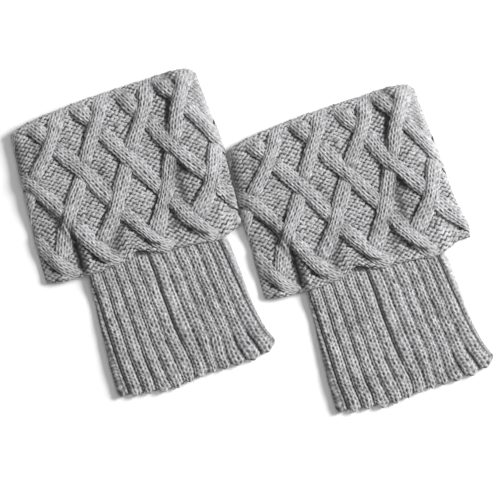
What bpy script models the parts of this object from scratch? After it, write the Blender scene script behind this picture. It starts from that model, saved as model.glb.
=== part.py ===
"""A pair of knitted leg warmers, lying flat side by side on a surface.

Each one is a tube of ribbing, the sleeve, with a wide cuff of lattice cables that turns
down over its top. Lengths are in metres. In each leg warmer's own frame x runs across the
leg, y up the leg from the level of the cuff's hem, and z up from the surface.
"""

import math

import bmesh
import bpy
import numpy as np

# The cloth, and how its layers lie on each other.
CUFF_WALL = 0.0024
SLEEVE_WALL = 0.0022
LAYER_GAP = 0.0004
SEAM_GAP = 0.0006
STACK_HEIGHT = 0.0116  # cuff, sleeve, sleeve and cuff, one on the other
SLEEVE_HEIGHT = 0.0054  # the sleeve's two layers at their grooves
SLEEVE_LIFT = CUFF_WALL + LAYER_GAP + 0.0001  # the cuff's back layer lies under the sleeve

# Where the two lie: each one's own origin, from the middle of the pair.
LEFT_AT = (-0.07485, 0.01765)
RIGHT_AT = (0.07365, -0.03905)

# The cuff. Reaches are measured from x = 0, and side_height is the thickness of its side folds.
CUFF_COLUMNS = ("y", "left", "right", "right_tucked", "side_height")
CUFF_SECTIONS = (
    (-0.003, 0.0779, 0.0782, 0.0710, 0.0068),
    (0.007, 0.0779, 0.0784, 0.0711, 0.0068),
    (0.020, 0.0777, 0.0770, 0.0714, 0.0069),
    (0.031, 0.0773, 0.0757, 0.0725, 0.0074),
    (0.045, 0.0764, 0.0747, 0.0734, 0.0084),
    (0.060, 0.0755, 0.0738, 0.0738, 0.0096),
    (0.089, 0.0742, 0.0724, 0.0724, 0.0112),
    (0.101, 0.0733, 0.0716, 0.0716, 0.0116),
    (0.121, 0.0720, 0.0702, 0.0702, 0.0116),
)
TOP_EDGE = (  # x, and how far the turned top dips there below its highest stretch
    (-0.074, 0.0104),
    (-0.068, 0.0082),
    (-0.055, 0.0052),
    (-0.0434, 0.0038),
    (-0.029, 0.0023),
    (-0.010, 0.0011),
    (0.0145, 0.0003),
    (0.035, 0.0000),
    (0.056, -0.0004),
    (0.063, 0.0008),
    (0.068, 0.0040),
    (0.072, 0.0085),
)
FRONT_HEM = (  # x, and how far the front's hem lies above y = 0
    (-0.080, 0.0002),
    (-0.070, -0.0020),
    (-0.055, -0.0031),
    (-0.044, -0.0034),
    (-0.028, -0.0028),
    (-0.018, -0.0010),
    (-0.011, 0.0026),
    (-0.003, 0.0018),
    (0.005, -0.0022),
    (0.018, -0.0032),
    (0.036, -0.0044),
    (0.056, -0.0052),
    (0.064, -0.0026),
    (0.072, 0.0004),
    (0.080, -0.0006),
)
DIP_FROM_Y = 0.047
BACK_HEM = -0.0004  # the back's hem lies at this y, out of sight from above
TOP_Y = 0.1213
FOLD_RADIUS = CUFF_WALL + LAYER_GAP / 2
FOLD_Y = TOP_Y - FOLD_RADIUS - 0.0012  # the cables stand proud of the fold
SEAM_Y = 0.1060  # the cuff's turned-in layer ends here and the sleeve starts
OVERHANG_FALL = ((-0.003, 0.0050), (0.030, 0.0060), (0.060, 0.0100), (0.121, 0.0100))
CREASE = {"beyond_sleeve": 0.0026, "width": 0.0030, "depth": 0.0013, "top_y": 0.050}
PUFF = {"x": -0.0640, "width": 0.0085, "rise": 0.0016, "top_y": 0.060}

# The lattice: strands lean both ways, and cross where half pitches and rows meet.
REPEATS = 9
HALF_PITCHES = 2 * REPEATS
FIRST_HALF_PITCH = -0.815  # at the left fold
CROSSING_Y = 0.0093  # the lowest row of crossings
CROSSING_STEP = 0.0297
STRAND_HALF_WIDTH = 0.0054
STRAND_RISE = 0.0030
HALF_PITCH = 0.0174
STEPS = 5  # mesh steps in each half pitch and each row

# The sleeve, also measured at its grooves.
SLEEVE_COLUMNS = ("y", "left", "right")
SLEEVE_SECTIONS = (
    (-0.0960, 0.0505, 0.0688),
    (-0.0845, 0.0502, 0.0650),
    (-0.0730, 0.0500, 0.0624),
    (-0.0614, 0.0493, 0.0605),
    (-0.0382, 0.0479, 0.0585),
    (-0.0150, 0.0467, 0.0568),
    (0.0000, 0.0464, 0.0557),
    (0.0300, 0.0480, 0.0570),
    (0.0600, 0.0570, 0.0610),
    (0.0850, 0.0655, 0.0652),
    (0.1060, 0.0691, 0.0671),
)
SLEEVE_BOTTOM = -0.0960
SLEEVE_HEM = (  # x, y of the front's lower edge
    (-0.0520, -0.0927),
    (-0.0434, -0.0954),
    (-0.0260, -0.0977),
    (-0.0150, -0.0998),
    (-0.0029, -0.0985),
    (0.0145, -0.0965),
    (0.0434, -0.0963),
    (0.0579, -0.0946),
    (0.0651, -0.0920),
    (0.0710, -0.0884),
)
SLEEVE_BACK_SHORTER = 0.0012
RIBS = 24
FIRST_GROOVE = 0.01442  # share of the way round, from the left fold
TWIST = ((-0.096, 0.0185), (-0.0845, 0.0166), (-0.0556, 0.0096), (-0.0266, 0.0), (0.106, 0.0))
RIB_RISE = 0.0022
RIB_RISE_UNDER_CUFF = 0.0005
RIB_FACE = (0.0, 0.20, 0.80)  # a rib's groove and the two edges of its face
RIB_SCALLOP = 0.0008
GROOVE_COLUMNS = ("groove", "from_y", "to_y", "extra_depth")
DEEP_GROOVES = (
    (5, -0.088, 0.000, 0.0011),
    (0, -0.110, -0.010, 0.0008),
    (4, -0.100, -0.055, 0.0006),
    (9, -0.110, -0.070, 0.0009),
    (10, -0.110, -0.066, 0.0010),
)
SLEEVE_ROWS = (SEAM_Y - SEAM_GAP, 0.082, 0.056, 0.030, 0.006, -0.006, -0.014, -0.023, -0.038,
               -0.054, -0.068, -0.079, -0.089, -0.096)
SLEEVE_INNER_ROWS = (-0.096, -0.082, -0.054, -0.023, -0.014, -0.006, 0.006, 0.056,
                     SEAM_Y - SEAM_GAP)
REST_Y = -0.024  # below this the sleeve lies on the surface
LIFTED_Y = -0.005  # above this it lies on the cuff's back layer

YARN = (0.60, 0.60, 0.61, 1.0)


def smooth_through(rows, at, column=1):
    """A smooth curve through a table's first column and another, read at some places."""
    table = np.asarray(rows)
    places, values = table[:, 0], table[:, column]
    slopes = np.gradient(values, places)
    at = np.clip(at, places[0], places[-1])
    last = np.clip(np.searchsorted(places, at, side="right") - 1, 0, len(places) - 2)
    step = places[last + 1] - places[last]
    part = (at - places[last]) / step
    start = values[last] + part * step * slopes[last]
    end = values[last + 1] - (1 - part) * step * slopes[last + 1]
    weight = part * part * (3 - 2 * part)
    return start * (1 - weight) + end * weight


def ease(value):
    """0 below 0, 1 above 1, and smooth between."""
    value = np.clip(value, 0, 1)
    return value * value * (3 - 2 * value)


def hump(distance, width):
    """1 at the middle, easing to 0 at this width to either side."""
    return ease(1 - np.abs(distance) / width)


def flat_tube(share, left, right, height, inset):
    """A point this share of the way round a flattened tube, from its left fold over the front.

    Gives x, z and the angle of the outward direction: 90 degrees on the front, -90 on the back.
    """
    radius = height / 2
    quarter = math.pi * radius / 2
    span = left + right - height
    way = (share % 1.0) * (4 * quarter + 2 * span)
    turned = (
        np.clip(way, 0, quarter)
        + np.clip(way - quarter - span, 0, 2 * quarter)
        + np.clip(way - 3 * quarter - 2 * span, 0, quarter)
    )
    angle = math.pi - turned / radius
    centre = (
        radius - left + np.clip(way - quarter, 0, span) - np.clip(way - 3 * quarter - span, 0, span)
    )
    x = centre + (radius - inset) * np.cos(angle)
    z = radius + (radius - inset) * np.sin(angle)
    return x, z, angle


def sleeve_reach(y):
    """How far the sleeve reaches to the left and the right at this height up the leg."""
    left = smooth_through(SLEEVE_SECTIONS, y, SLEEVE_COLUMNS.index("left"))
    right = smooth_through(SLEEVE_SECTIONS, y, SLEEVE_COLUMNS.index("right"))
    return left, right


def cuff_front_height(x, y, side_height):
    """How high the cuff's front lies: on the sleeve, and lower where it overhangs beside it."""
    sleeve_left, sleeve_right = sleeve_reach(y)
    margin = 0.0012
    fall = smooth_through(OVERHANG_FALL, y)
    on_sleeve = ease(1 + (x + sleeve_left + margin) / fall) * ease(
        1 - (x - sleeve_right - margin) / np.maximum(fall, 0.009)
    )
    crease_x = -(sleeve_left + CREASE["beyond_sleeve"])
    low = ease(1 - y / CREASE["top_y"])
    crease = CREASE["depth"] * hump(x - crease_x, CREASE["width"]) * low
    puff = PUFF["rise"] * hump(x - PUFF["x"], PUFF["width"]) * ease(1 - y / PUFF["top_y"])
    return side_height + (STACK_HEIGHT - side_height) * on_sleeve + puff - crease


def top_dip(x, y):
    """How far the turned top pulls the cloth down at this height, to follow the top's edge."""
    return smooth_through(TOP_EDGE, x) * ease((y - DIP_FROM_Y) / (FOLD_Y - DIP_FROM_Y))


def lattice_rise(half_pitch, row):
    """Height of the cables over the ground: each strand passes over one crossing, under the next."""
    lean = math.cos(math.atan2(HALF_PITCH, CROSSING_STEP))
    strands = []
    for place, over in ((half_pitch - row, -1), (half_pitch + row, 1)):
        distance = ((place + 1) % 2 - 1) * HALF_PITCH * lean
        dome = np.sqrt(np.clip(1 - (distance / STRAND_HALF_WIDTH) ** 2, 0, 1))
        strands.append(dome * (0.78 + 0.34 * over * np.cos(math.pi * row)))
    return STRAND_RISE * np.maximum(*strands)


def row_of(y):
    """A height up the cuff, counted in rows of crossings."""
    return (y - CROSSING_Y) / CROSSING_STEP


HEM_ROW, FOLD_ROW, SEAM_ROW = row_of(-0.0025), row_of(FOLD_Y), row_of(SEAM_Y)


def share_round_cuff(half_pitch, y, right):
    """The share of the way round the cuff, where a tucked right side turns under sooner."""
    left_reach, full, tucked, height = (
        smooth_through(CUFF_SECTIONS, y, CUFF_COLUMNS.index(name))
        for name in ("left", "right", right, "side_height")
    )
    fold = (left_reach + tucked - height) + math.pi * height / 2
    fold = 0.5 * fold / (left_reach + full - height + math.pi * height / 2)
    share = (half_pitch - FIRST_HALF_PITCH) / HALF_PITCHES % 1.0
    after = 0.5 + 0.5 * (share - fold) / (1 - fold)
    return np.where(share < fold, 0.5 * share / fold, after)


def cuff_ring(half_pitch, row, inset=0.0, out=0.0, turn=0.0, cables=0.0, right="right"):
    """A ring of the cuff's points.

    They start inset below the outer face, and go out from there in a direction turned
    from straight outward (0) over the fold's crest (90) to inward (180 degrees).
    """
    y = CROSSING_Y + row * CROSSING_STEP + 0 * half_pitch
    left_reach, right_reach, side_height = (
        smooth_through(CUFF_SECTIONS, y, CUFF_COLUMNS.index(name))
        for name in ("left", right, "side_height")
    )
    share = share_round_cuff(half_pitch, y, right)
    x, z, angle = flat_tube(share, left_reach, right_reach, side_height, inset)
    front = np.clip(np.sin(angle), 0, 1)
    z = z + front * (cuff_front_height(x, y, side_height) - side_height)
    low = ease(1 - (row - HEM_ROW) / 1.2)
    hem = smooth_through(FRONT_HEM, x) * front + BACK_HEM * (1 - front) + 0.0025
    y = y + hem * low - top_dip(x, y)
    pressed = np.where(np.sin(angle) > 0, 0.5 + 0.5 * front, 0.5 + 0.5 * np.sin(angle))
    hem_fade = 0.35 + 0.65 * ease((row - HEM_ROW) / 0.2)
    out = out + cables * lattice_rise(half_pitch, row) * pressed * hem_fade
    turn = math.radians(turn)
    x = x + out * np.cos(angle) * math.cos(turn)
    z = z + out * np.sin(angle) * math.cos(turn)
    return np.stack([x, y + out * math.sin(turn), z], axis=-1)


def cuff_rings(right):
    """The cuff's wall from its hem up the outside, over the fold to the seam, and back inside."""
    half_pitch = np.arange(HALF_PITCHES * STEPS) / STEPS
    first = math.ceil((HEM_ROW + 0.5 / STEPS) * STEPS)
    last = math.floor((FOLD_ROW - 0.3 / STEPS) * STEPS)
    outer_rows = [HEM_ROW, *(row / STEPS for row in range(first, last + 1)), FOLD_ROW]
    rings = [dict(row=row, cables=1.0) for row in outer_rows]
    for turn, cables in ((45, 0.9), (90, 0.6), (135, 0.2), (180, 0.0)):
        rings.append(
            dict(row=FOLD_ROW, inset=FOLD_RADIUS, out=FOLD_RADIUS, turn=turn, cables=cables)
        )
    rings.append(dict(row=SEAM_ROW, inset=2 * FOLD_RADIUS))
    rings.append(dict(row=SEAM_ROW, inset=CUFF_WALL + LAYER_GAP))
    rings.append(dict(row=FOLD_ROW, inset=CUFF_WALL + LAYER_GAP))
    for row in (FOLD_ROW, 3.0, 2.4, 1.8, 1.3, 0.8, 0.3, HEM_ROW):
        rings.append(dict(row=row, inset=CUFF_WALL))
    return np.array([cuff_ring(half_pitch, right=right, **ring) for ring in rings])


def sleeve_ring(y, inner):
    """A ring of the sleeve's points: ribs outside, plain inside, and flat on the back."""
    rib, face = np.meshgrid(np.arange(RIBS), RIB_FACE, indexing="ij")
    share = (rib + face).ravel() / RIBS + FIRST_GROOVE + smooth_through(TWIST, y)
    left, right = sleeve_reach(y)
    x, z, angle = flat_tube(share, left, right, SLEEVE_HEIGHT, SLEEVE_WALL if inner else 0.0)
    front = np.clip(np.sin(angle), 0, 1)
    on_face = (face > 0).ravel()
    if not inner:
        visible = ease((LIFTED_Y - 0.002 - y) / 0.010)
        rise = (RIB_RISE_UNDER_CUFF + (RIB_RISE - RIB_RISE_UNDER_CUFF) * visible) * on_face
        for groove, from_y, to_y, extra_depth in DEEP_GROOVES:
            here = ease((y - from_y) / 0.02) * ease((to_y - y) / 0.02)
            rise = rise - extra_depth * here * ((rib.ravel() == groove) & ~on_face)
        out = rise * (0.6 + 0.4 * front) * ease(1 + np.sin(angle))
        x, z = x + out * np.cos(angle), z + out * np.sin(angle)
    hem = smooth_through(SLEEVE_HEM, x) + SLEEVE_BACK_SHORTER * (1 - front) - SLEEVE_BOTTOM
    scallop = RIB_SCALLOP * np.where(on_face, -1, 1)
    low = ease(1 - (y - SLEEVE_BOTTOM) / 0.045)
    lift = SLEEVE_LIFT * ease((y - REST_Y) / (LIFTED_Y - REST_Y))
    edge = ease(1 - (y - SLEEVE_BOTTOM) / 0.008)
    y = y + hem * low + scallop * edge - top_dip(x, y)
    return np.stack([x, y, z + lift], axis=-1)


def sleeve_rings():
    """The sleeve's wall from the seam down the outside to its hem, and back up the inside."""
    outer = [sleeve_ring(y, inner=False) for y in SLEEVE_ROWS]
    inner = [sleeve_ring(y, inner=True) for y in SLEEVE_INNER_ROWS]
    return np.array(outer + inner)


def rolled_cloth(name, rings, place):
    """A wall of cloth: a flat grid laid on the rings, closed round the tube and at both hems."""
    rows, around = rings.shape[:2]
    cloth = bmesh.new()
    bmesh.ops.create_grid(cloth, x_segments=around, y_segments=rows, size=0.5)
    for vert in cloth.verts:
        column = round((vert.co.x + 0.5) * around) % around
        row = round((vert.co.y + 0.5) * rows) % rows
        x, y, z = rings[row, column]
        vert.co = (x + place[0], y + place[1], z)
    bmesh.ops.remove_doubles(cloth, verts=cloth.verts, dist=1e-6)
    bmesh.ops.recalc_face_normals(cloth, faces=cloth.faces)
    level = [
        face
        for face in cloth.faces
        if max(v.co.z for v in face.verts) - min(v.co.z for v in face.verts) < 1e-7
    ]
    edges = {edge for face in level for edge in face.edges}
    verts = {vert for face in level for vert in face.verts}
    bmesh.ops.dissolve_limit(
        cloth, angle_limit=math.radians(0.05), verts=list(verts), edges=list(edges)
    )
    bmesh.ops.triangulate(
        cloth, faces=cloth.faces, quad_method="SHORT_EDGE", ngon_method="BEAUTY"
    )
    mesh = bpy.data.meshes.new(name)
    cloth.to_mesh(mesh)
    cloth.free()
    mesh.shade_smooth()
    mesh.set_sharp_from_angle(angle=math.radians(60))
    mesh.materials.append(knit_material(f"{name}_knit"))
    solid = bpy.data.objects.new(name, mesh)
    bpy.context.scene.collection.objects.link(solid)
    return solid


def knit_material(name):
    """Matt pale grey wool-like yarn."""
    material = bpy.data.materials.new(name)
    material.use_nodes = True
    shader = material.node_tree.nodes["Principled BSDF"]
    shader.inputs["Base Color"].default_value = YARN
    shader.inputs["Roughness"].default_value = 0.95
    shader.inputs["Metallic"].default_value = 0.0
    return material


def main():
    for thing in list(bpy.data.objects):
        bpy.data.objects.remove(thing)
    for side, place, right in (("left", LEFT_AT, "right_tucked"), ("right", RIGHT_AT, "right")):
        rolled_cloth(f"{side}_cuff", cuff_rings(right), place)
        rolled_cloth(f"{side}_sleeve", sleeve_rings(), place)


main()
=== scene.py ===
# %% [markdown]
# # A pair of knitted leg warmers, lying flat
#
# A leg warmer of this kind is a short ribbed sleeve. Its upper part is knitted in a lattice of
# crossing cables and turned down over the ribbing as a wide cuff. Here both lie flat on a pale
# surface and are seen from straight above.
#
# The lesson models the knitting itself: every stitch is a small form in the mesh. The first cell
# loads the measured solids, which give the frame and the places. All lengths are in metres.

# %% Load the measured solids
import math

import bmesh
import bpy
import numpy as np
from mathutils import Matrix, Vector


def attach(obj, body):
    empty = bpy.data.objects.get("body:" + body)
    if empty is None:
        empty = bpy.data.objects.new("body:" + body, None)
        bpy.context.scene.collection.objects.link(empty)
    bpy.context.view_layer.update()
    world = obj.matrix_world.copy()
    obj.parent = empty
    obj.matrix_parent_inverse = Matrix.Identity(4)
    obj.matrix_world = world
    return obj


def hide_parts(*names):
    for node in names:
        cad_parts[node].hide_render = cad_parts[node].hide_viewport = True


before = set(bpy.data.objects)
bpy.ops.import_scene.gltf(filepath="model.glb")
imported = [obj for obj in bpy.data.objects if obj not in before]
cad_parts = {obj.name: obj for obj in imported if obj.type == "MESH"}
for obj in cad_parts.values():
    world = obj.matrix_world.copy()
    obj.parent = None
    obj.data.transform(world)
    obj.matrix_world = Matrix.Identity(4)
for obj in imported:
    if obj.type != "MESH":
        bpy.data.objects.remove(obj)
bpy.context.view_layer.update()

print("solids:", sorted(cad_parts))

# %% [markdown]
# ## Camera
#
# The picture is a flat-lay, taken from straight above with the pair turned a little on the
# page. A long lens far away gives nearly parallel rays, so the thin cloth shows no slant.

# %% Place the camera
PAGE_TURN = math.radians(16.8)
VIEW_CENTRE = (-0.0043, -0.0022)
VIEW_WIDTH = 0.3623  # what the square picture takes in
CAMERA_HEIGHT = 3.0
MEAN_CLOTH_HEIGHT = 0.010

camera_data = bpy.data.cameras.new("flat_lay_camera")
camera_data.sensor_width = 36.0
camera_data.lens = camera_data.sensor_width * (CAMERA_HEIGHT - MEAN_CLOTH_HEIGHT) / VIEW_WIDTH
camera = bpy.data.objects.new("flat_lay_camera", camera_data)
camera.location = (*VIEW_CENTRE, CAMERA_HEIGHT)
camera.rotation_euler = (0.0, 0.0, -PAGE_TURN)
bpy.context.scene.collection.objects.link(camera)
bpy.context.scene.camera = camera
print(f"camera: {camera_data.lens:.0f} mm lens")

# %% [markdown]
# ## Floor and light
#
# A white surface. One soft key light stands halfway up over the page's upper right: it lights
# the knitting aslant and shades the left of every cable. A weaker one, low on the right,
# brightens what faces that side. A faint light overhead and the pale world fill the shadows.

# %% Lay the floor
FLOOR_SIZE = 6.0

floor_grid = bmesh.new()
bmesh.ops.create_grid(floor_grid, x_segments=1, y_segments=1, size=FLOOR_SIZE / 2)
floor_mesh = bpy.data.meshes.new("floor")
floor_grid.to_mesh(floor_mesh)
floor_grid.free()
floor = bpy.data.objects.new("floor", floor_mesh)
bpy.context.scene.collection.objects.link(floor)

floor_paint = bpy.data.materials.new("pale_floor")
floor_paint.use_nodes = True
paint = floor_paint.node_tree.nodes["Principled BSDF"]
paint.inputs["Base Color"].default_value = (0.93, 0.93, 0.93, 1.0)
paint.inputs["Roughness"].default_value = 0.9
floor.data.materials.append(floor_paint)


# %% Set the lights
def soft_light(name, from_page_right, height_angle, distance, size, power):
    """An area light aimed at the pair, turned this far round from the page's right."""
    data = bpy.data.lights.new(name, "AREA")
    data.shape = "DISK"
    data.size = size
    data.energy = power
    light = bpy.data.objects.new(name, data)
    turn = math.radians(from_page_right) - PAGE_TURN
    rise = math.radians(height_angle)
    level = math.cos(rise)
    away = Vector((math.cos(turn) * level, math.sin(turn) * level, math.sin(rise)))
    light.location = away * distance
    light.rotation_euler = away.to_track_quat("Z", "Y").to_euler()
    bpy.context.scene.collection.objects.link(light)


soft_light("key", from_page_right=25, height_angle=43, distance=3.0, size=1.1, power=102)
soft_light("low_side", from_page_right=5, height_angle=14, distance=3.0, size=1.0, power=24)
soft_light("overhead", from_page_right=90, height_angle=80, distance=2.2, size=1.6, power=12)

world = bpy.data.worlds.new("studio")
world.use_nodes = True
world.node_tree.nodes["Background"].inputs["Color"].default_value = (1.0, 1.0, 1.0, 1.0)
world.node_tree.nodes["Background"].inputs["Strength"].default_value = 0.20
bpy.context.scene.world = world
bpy.context.scene.view_settings.view_transform = "Standard"

# %% [markdown]
# ## Curves through measured places
#
# A knitted edge is a soft curve through a few places that can be measured with a ruler. Each
# table below holds such places, and smooth_through draws the curve. ease and hump blend one
# form into the next, as soft cloth does.


# %% Helpers for soft forms
def smooth_through(rows, at, column=1):
    """A smooth curve through a table's first column and another, read at some places."""
    table = np.asarray(rows)
    places, values = table[:, 0], table[:, column]
    slopes = np.gradient(values, places)
    at = np.clip(at, places[0], places[-1])
    last = np.clip(np.searchsorted(places, at, side="right") - 1, 0, len(places) - 2)
    step = places[last + 1] - places[last]
    part = (at - places[last]) / step
    start = values[last] + part * step * slopes[last]
    end = values[last + 1] - (1 - part) * step * slopes[last + 1]
    weight = part * part * (3 - 2 * part)
    return start * (1 - weight) + end * weight


def ease(value):
    """0 below 0, 1 above 1, and smooth between."""
    value = np.clip(value, 0, 1)
    return value * value * (3 - 2 * value)


def hump(distance, width):
    """1 at the middle, easing to 0 at this width to either side."""
    return ease(1 - np.abs(distance) / width)


def bell(distance, width):
    """1 at the middle, and fading softly all round."""
    return np.exp(-np.square(distance / width))


# %% [markdown]
# ## The flattened tube
#
# Both parts of a leg warmer are tubes pressed flat, two layers with a round fold at each
# side. A place on such a tube is given by its share of the way round, starting at the left
# fold and going over the front, so one function serves every layer.


# %% A point on a flattened tube
def flat_tube(share, left, right, height, inset):
    """x, z and outward angle at this share of the way round, from the left fold over the front."""
    radius = height / 2
    quarter = math.pi * radius / 2
    span = left + right - height
    way = (share % 1.0) * (4 * quarter + 2 * span)
    turned = (
        np.clip(way, 0, quarter)
        + np.clip(way - quarter - span, 0, 2 * quarter)
        + np.clip(way - 3 * quarter - 2 * span, 0, quarter)
    )
    angle = math.pi - turned / radius
    centre = (
        radius - left + np.clip(way - quarter, 0, span) - np.clip(way - 3 * quarter - span, 0, span)
    )
    x = centre + (radius - inset) * np.cos(angle)
    z = radius + (radius - inset) * np.sin(angle)
    return x, z, angle


# %% [markdown]
# ## Stitches
#
# The right side of knitting shows columns of V shapes: each stitch is two slanting legs, and
# the dark gaps between legs run steeply along the column. A small hole opens where the two
# legs leave the stitch below, and another beside each column. The wrong side, the purl side,
# shows wavy rows of short arcs, those of the loops' heads and feet in turn. The cables and
# ribs show the right side, and the ground between them the wrong side. Loops of real yarn
# would take millions of faces, so each stitch is a relief on the cloth: 1 on top of the yarn
# and 0 in the gap.

# %% How unlike the stitches are
UNLIKE = 0.25  # how far one stitch may differ from the next
LUMPS = np.random.default_rng(7).uniform(-1, 1, (64, 64))
OTHER_LUMPS = 9  # rows away in that table
WAVES, SLOWEST, QUICKEST = 7, 0.25, 1.3
WAVES_SHARE = 3.0  # brings the sum of the waves to about 1
LOOSE_FIBRES = 0.00012  # they roughen the surface by this much


def own_size(column, row):
    """Each leg's or arc's own plumpness, around 1."""
    column = np.floor(column).astype(int) % len(LUMPS)
    row = np.floor(row).astype(int) % len(LUMPS)
    return 1 + UNLIKE * LUMPS[column, row]


def unevenness(across, along, seed):
    """Slow, seeded waves between about -1 and 1: handmade stitches are never quite alike."""
    waves = np.random.default_rng(seed)
    total = 0.0
    for _ in range(WAVES):
        way, phase = waves.uniform(0, 2 * math.pi, 2)
        pace = waves.uniform(SLOWEST, QUICKEST)
        total = total + np.sin(pace * (across * np.cos(way) + along * np.sin(way)) + phase)
    return total / WAVES_SHARE


def fibres_over(face, seed):
    """Small seeded heights, one for each place of a stitched surface."""
    return LOOSE_FIBRES * np.random.default_rng(seed).uniform(-1, 1, face.shape)


print(f"one stitch is up to {UNLIKE:.0%} plumper than the usual one")

# %% The right side of a stitch
LEG_SLOPE = 0.95  # rows that a leg climbs from the middle of a column to its edge
LEG_ROUND = 0.9
HOLE = {"row": -0.4, "length": 0.32, "between": 0.50}  # where the legs leave the stitch below
HOLE_WIDTH = 0.34
HOLE_UNLIKE = 0.45
EDGE_HOLE = {"row": 0.1, "length": 0.32, "between": 0.55}  # beside the column


def holes(row, kind):
    """Strength of a line of holes along a column: 1 at each hole, and less between them."""
    from_hole = (row - kind["row"]) % 1.0 - 0.5
    return kind["between"] + (1 - kind["between"]) * bell(from_hole, kind["length"])


def knit_face(column, row, look):
    """The right side: round legs slant up and out from the middle of each column."""
    side = np.abs(2 * (column % 1.0) - 1)
    way = row - LEG_SLOPE * side
    leg = 1 - look["gap"] * (1 - (1 - np.square(2 * (way % 1.0) - 1)) ** (LEG_ROUND / 2))
    own_hole = 1 + HOLE_UNLIKE * (own_size(column, row - HOLE["row"]) - 1) / UNLIKE
    hole = look["hole"] * own_hole * bell(side, HOLE_WIDTH) * holes(row, HOLE)
    edge = look["edge"] * bell(1 - side, look["edge_width"]) * holes(row, EDGE_HOLE)
    return np.clip(leg * (1 - hole - edge) * own_size(2 * column, way), 0, 1)


# %% The wrong side of a stitch
ARC_LONG = 0.37  # half the length of an arc, in stitches
ARC_THICK = 0.40  # half its thickness, in rows
ARC_BEND = 1.0
ARC_ASTRAY = 0.45  # rows that an arc lies off its course, for its share of unlikeness
ARC_ASIDE = 0.35  # the same along the course, in stitches


def purl_face(column, row):
    """The wrong side: the heads and feet of the loops, short arcs laid like bricks."""
    face = np.zeros(np.broadcast(column, row).shape)
    for shift, bend in ((0.0, -ARC_BEND), (0.5, ARC_BEND)):
        along = (column + shift) % 1.0 - 0.5
        wave = row + shift + bend * np.square(along)
        plump = own_size(2 * np.floor(column + shift) + 2 * shift, wave)
        across = wave % 1.0 - 0.5 + ARC_ASTRAY * (plump - 1)
        aside = own_size(2 * np.floor(column + shift), wave + OTHER_LUMPS) - 1
        along = along + ARC_ASIDE * aside
        arc = 1 - np.square(along / ARC_LONG) - np.square(across / ARC_THICK)
        face = np.maximum(face, np.sqrt(np.clip(arc, 0, 1)) * plump)
    return np.clip(face, 0, 1)


# %% [markdown]
# ## The form of the cuff
#
# The cuff is a tube pressed flat, a little wider at its free hem than at the top. Its front
# lies high where the sleeve fills it and sinks beside the sleeve, where it overhangs, with a
# crease on the left where the sleeve's edge shows through. The tables give its reach to
# either side, the line of its turned top and the wave of its hem. The left cuff's right side
# is tucked in near the hem, where the other leg warmer lies against it.

# %% Sizes of the cuff
CUFF_WALL = 0.0024
LAYER_GAP = 0.0004
STACK_HEIGHT = 0.0116  # cuff, sleeve, sleeve and cuff, one on the other
CUFF_COLUMNS = ("y", "left", "right", "right_tucked", "side_height")
CUFF_SECTIONS = (
    (-0.003, 0.0779, 0.0782, 0.0710, 0.0068),
    (0.007, 0.0779, 0.0784, 0.0711, 0.0068),
    (0.020, 0.0777, 0.0770, 0.0714, 0.0069),
    (0.031, 0.0773, 0.0757, 0.0725, 0.0074),
    (0.045, 0.0764, 0.0747, 0.0734, 0.0084),
    (0.060, 0.0755, 0.0738, 0.0738, 0.0096),
    (0.089, 0.0742, 0.0724, 0.0724, 0.0112),
    (0.101, 0.0733, 0.0716, 0.0716, 0.0116),
    (0.121, 0.0720, 0.0702, 0.0702, 0.0116),
)
TOP_EDGE = (  # x, and how far the turned top dips there below its highest stretch
    (-0.074, 0.0104),
    (-0.068, 0.0082),
    (-0.055, 0.0052),
    (-0.0434, 0.0038),
    (-0.029, 0.0023),
    (-0.010, 0.0011),
    (0.0145, 0.0003),
    (0.035, 0.0000),
    (0.056, -0.0004),
    (0.063, 0.0008),
    (0.068, 0.0040),
    (0.072, 0.0085),
)
FRONT_HEM = (  # x, and how far the front's hem lies above y = 0
    (-0.080, 0.0002),
    (-0.070, -0.0020),
    (-0.055, -0.0031),
    (-0.044, -0.0034),
    (-0.028, -0.0028),
    (-0.018, -0.0010),
    (-0.011, 0.0026),
    (-0.003, 0.0018),
    (0.005, -0.0022),
    (0.018, -0.0032),
    (0.036, -0.0044),
    (0.056, -0.0052),
    (0.064, -0.0026),
    (0.072, 0.0004),
    (0.080, -0.0006),
)
DIP_FROM_Y = 0.047
BACK_HEM = -0.0004
HEM_Y = -0.0025  # the hem before its wave
TOP_Y = 0.1213
FOLD_RADIUS = CUFF_WALL + LAYER_GAP / 2
FOLD_Y = TOP_Y - FOLD_RADIUS - 0.0012  # the cables stand proud of the fold
SEAM_Y = 0.1060
OVERHANG = {"margin": 0.0012, "least_fall_right": 0.009}  # past the sleeve's edges
OVERHANG_FALL = ((-0.003, 0.0050), (0.030, 0.0060), (0.060, 0.0100), (0.121, 0.0100))
CREASE = {"beyond_sleeve": 0.0030, "left": 0.0020, "right": 0.0062, "depth": 0.0046, "top_y": 0.046}
LEFT_ROUND = {"width": 0.013, "drop": 0.0022}  # the front rounds off towards the left fold
PUFF = {"x": -0.0640, "width": 0.0085, "rise": 0.0016, "top_y": 0.060}
SLEEVE_COLUMNS = ("y", "left", "right")
SLEEVE_SECTIONS = (
    (-0.0960, 0.0505, 0.0688),
    (-0.0845, 0.0502, 0.0650),
    (-0.0730, 0.0500, 0.0624),
    (-0.0614, 0.0493, 0.0605),
    (-0.0382, 0.0479, 0.0585),
    (-0.0150, 0.0467, 0.0568),
    (0.0000, 0.0464, 0.0557),
    (0.0300, 0.0480, 0.0570),
    (0.0600, 0.0570, 0.0610),
    (0.0850, 0.0655, 0.0652),
    (0.1060, 0.0691, 0.0671),
)
print(f"a cuff is {1000 * (TOP_Y - HEM_Y):.0f} mm deep")


# %% How high the cuff's front lies
def cuff_sizes(y, *names):
    """The cuff's sizes of these names at this height up the leg."""
    return [smooth_through(CUFF_SECTIONS, y, CUFF_COLUMNS.index(name)) for name in names]


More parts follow.
